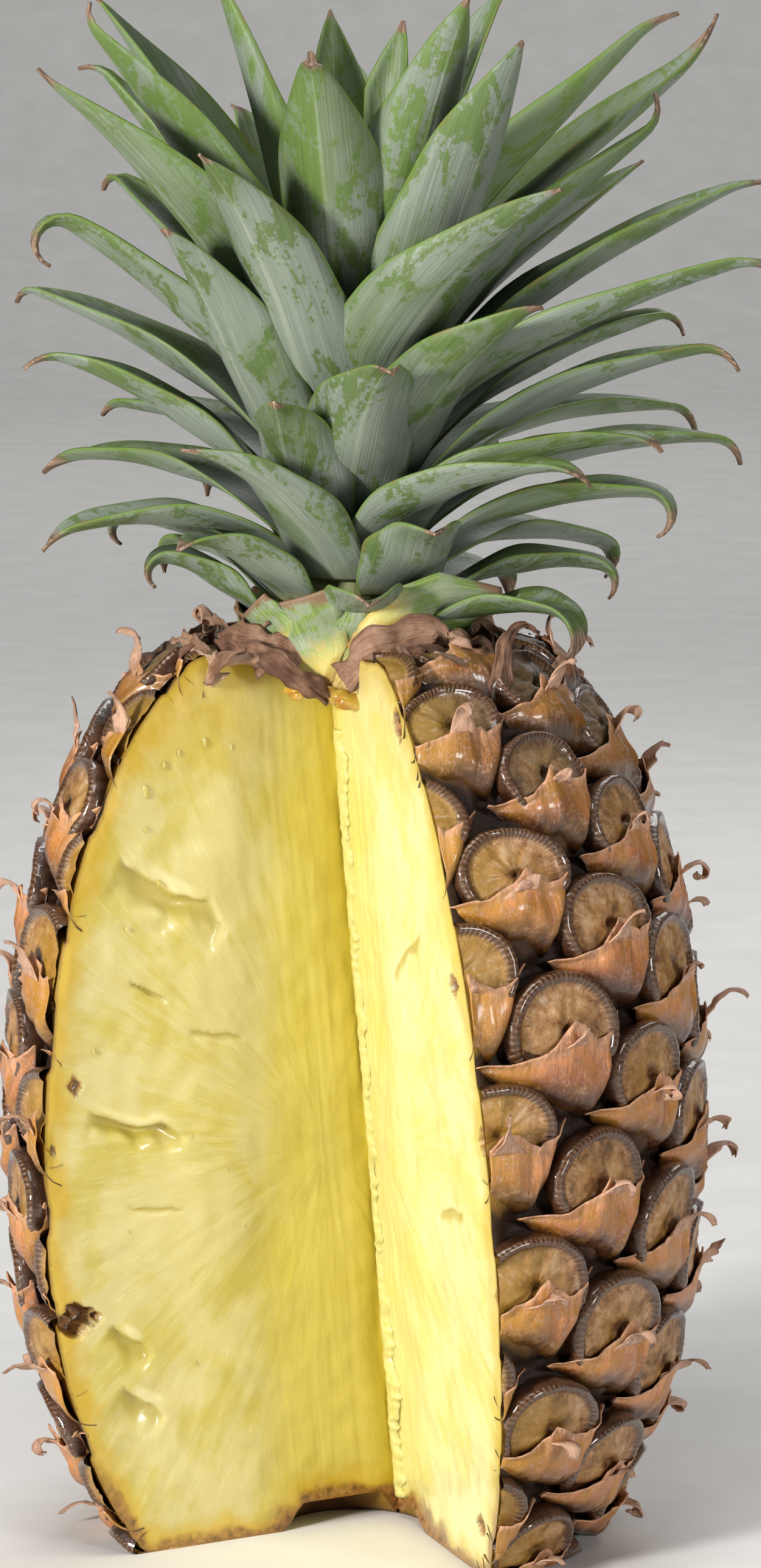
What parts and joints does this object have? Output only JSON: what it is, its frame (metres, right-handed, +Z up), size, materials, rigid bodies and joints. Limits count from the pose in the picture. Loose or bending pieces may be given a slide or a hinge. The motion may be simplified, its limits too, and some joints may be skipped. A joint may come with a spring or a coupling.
{
  "type": "pineapple",
  "caption": "Whole pineapple with its crown of leaves, standing on its base, with one long wedge cut out so that the flesh and the core show.",
  "frame": {"origin": "under the middle of the whole object, on the surface that it stands on; the fruit's own axis is 7 mm to the -X side of it and 2.5 mm towards -Y", "axes": "+Z up, along the fruit's axis to the crown; the cut wedge opens towards -Y"},
  "size_m": [0.141, 0.1229, 0.2905],
  "materials": {
    "fruit": "brown, glossy and creased rind over juicy yellow flesh",
    "stem": "pale and fibrous, hidden by the leaves' feet",
    "leaf": "stiff green blade with a greyish waxy bloom and a dried brown tip"
  },
  "bodies": {
    "root": {"fruit": "fruit", "crown_stem": "stem", "leaf_01": "leaf", "leaf_02": "leaf", "leaf_03": "leaf", "leaf_04": "leaf", "leaf_05": "leaf", "leaf_06": "leaf", "leaf_07": "leaf", "leaf_08": "leaf", "leaf_09": "leaf", "leaf_10": "leaf", "leaf_11": "leaf", "leaf_12": "leaf", "leaf_13": "leaf", "leaf_14": "leaf", "leaf_15": "leaf", "leaf_16": "leaf", "leaf_17": "leaf", "leaf_18": "leaf", "leaf_19": "leaf", "leaf_20": "leaf", "leaf_21": "leaf", "leaf_22": "leaf", "leaf_23": "leaf", "leaf_24": "leaf", "leaf_25": "leaf", "leaf_26": "leaf", "leaf_27": "leaf", "leaf_28": "leaf", "leaf_29": "leaf", "leaf_30": "leaf", "leaf_31": "leaf", "leaf_32": "leaf", "leaf_33": "leaf", "leaf_34": "leaf", "leaf_35": "leaf", "leaf_36": "leaf", "leaf_37": "leaf", "leaf_38": "leaf", "leaf_39": "leaf", "leaf_40": "leaf", "leaf_41": "leaf", "leaf_42": "leaf", "leaf_43": "leaf", "leaf_44": "leaf", "leaf_45": "leaf", "leaf_46": "leaf", "leaf_47": "leaf", "leaf_48": "leaf", "leaf_49": "leaf", "leaf_50": "leaf", "leaf_51": "leaf", "leaf_52": "leaf", "leaf_53": "leaf", "leaf_54": "leaf", "leaf_55": "leaf", "leaf_56": "leaf", "leaf_57": "leaf", "leaf_58": "leaf"}
  },
  "joints": []
}
